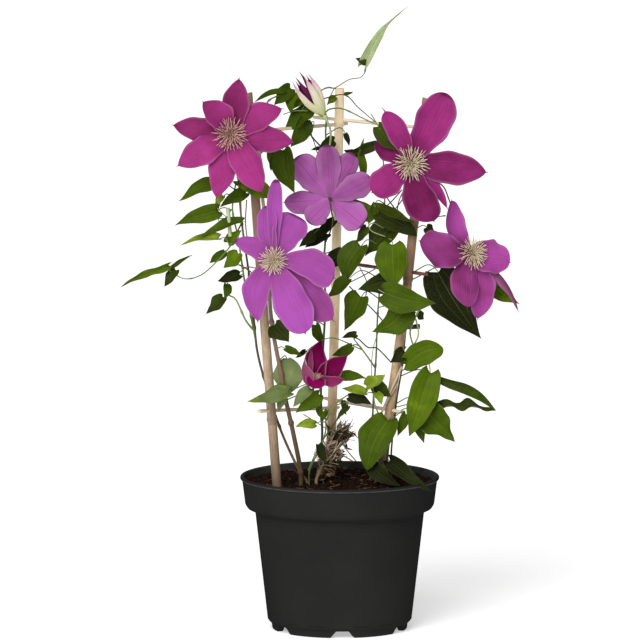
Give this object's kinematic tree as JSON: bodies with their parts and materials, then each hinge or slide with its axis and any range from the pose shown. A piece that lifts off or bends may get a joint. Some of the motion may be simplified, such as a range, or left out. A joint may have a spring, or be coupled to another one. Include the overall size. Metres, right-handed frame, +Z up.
{
  "type": "potted clematis",
  "caption": "Flowering clematis in a black nursery pot, trained on a folding rack of bamboo canes with thin rungs.",
  "frame": {"origin": "middle of the pot's underside, on the surface that it stands on", "axes": "+Z up along the pot's axis; +X to the right and -Y towards the viewer, who faces the blooms"},
  "size_m": [0.341, 0.1698, 0.5339],
  "materials": {
    "pot_plastic": "satin black injection-moulded plastic, a little dusty",
    "soil": "damp crumbly peat potting soil",
    "bamboo_brown": "weathered grey-brown bamboo",
    "bamboo_pale": "pale straw bamboo, satin",
    "bamboo_tan": "tan bamboo, satin",
    "rung_wood": "split bamboo stick, matt",
    "clip_plastic": "black plastic plant clip",
    "petal_magenta": "velvety magenta petal with fine veins",
    "petal_plum": "velvety plum petal with a redder bar",
    "petal_mauve": "mauve petal underside with pale edges",
    "petal_violet": "bright violet petal with fine veins",
    "petal_purple": "purple-magenta petal with fine veins",
    "petal_maroon": "deep maroon petal, pale outside",
    "bud_sepal": "cream-green sepal with maroon edges",
    "stamens": "cream filaments",
    "foliage": "veined green leaves on green and brown stems",
    "dry_leaf": "withered brown leaves on an old stem"
  },
  "bodies": {
    "root": {"pot": "pot_plastic", "soil": "soil", "cane_left": "bamboo_brown", "cane_back": "bamboo_pale", "cane_right": "bamboo_tan", "rung_low_left": "rung_wood", "rung_low_right": "rung_wood", "rung_middle_left": "rung_wood", "rung_middle_right": "rung_wood", "rung_top_left": "rung_wood", "rung_top_right": "rung_wood", "clip": "clip_plastic", "bloom_upper_left_tepals": "petal_magenta", "bloom_upper_left_stamens": "stamens", "bloom_upper_right_tepals": "petal_plum", "bloom_upper_right_stamens": "stamens", "bloom_middle_tepals": "petal_mauve", "bloom_middle_stamens": "stamens", "bloom_left_tepals": "petal_violet", "bloom_left_stamens": "stamens", "bloom_right_tepals": "petal_purple", "bloom_right_stamens": "stamens", "half_open_bloom": "petal_maroon", "bud": "bud_sepal", "vine_outer_left": "foliage", "vine_inner_left": "foliage", "vine_back": "foliage", "vine_middle": "foliage", "vine_right": "foliage", "vine_low_right": "foliage", "vine_low": "foliage", "old_wood": "dry_leaf"}
  },
  "joints": []
}
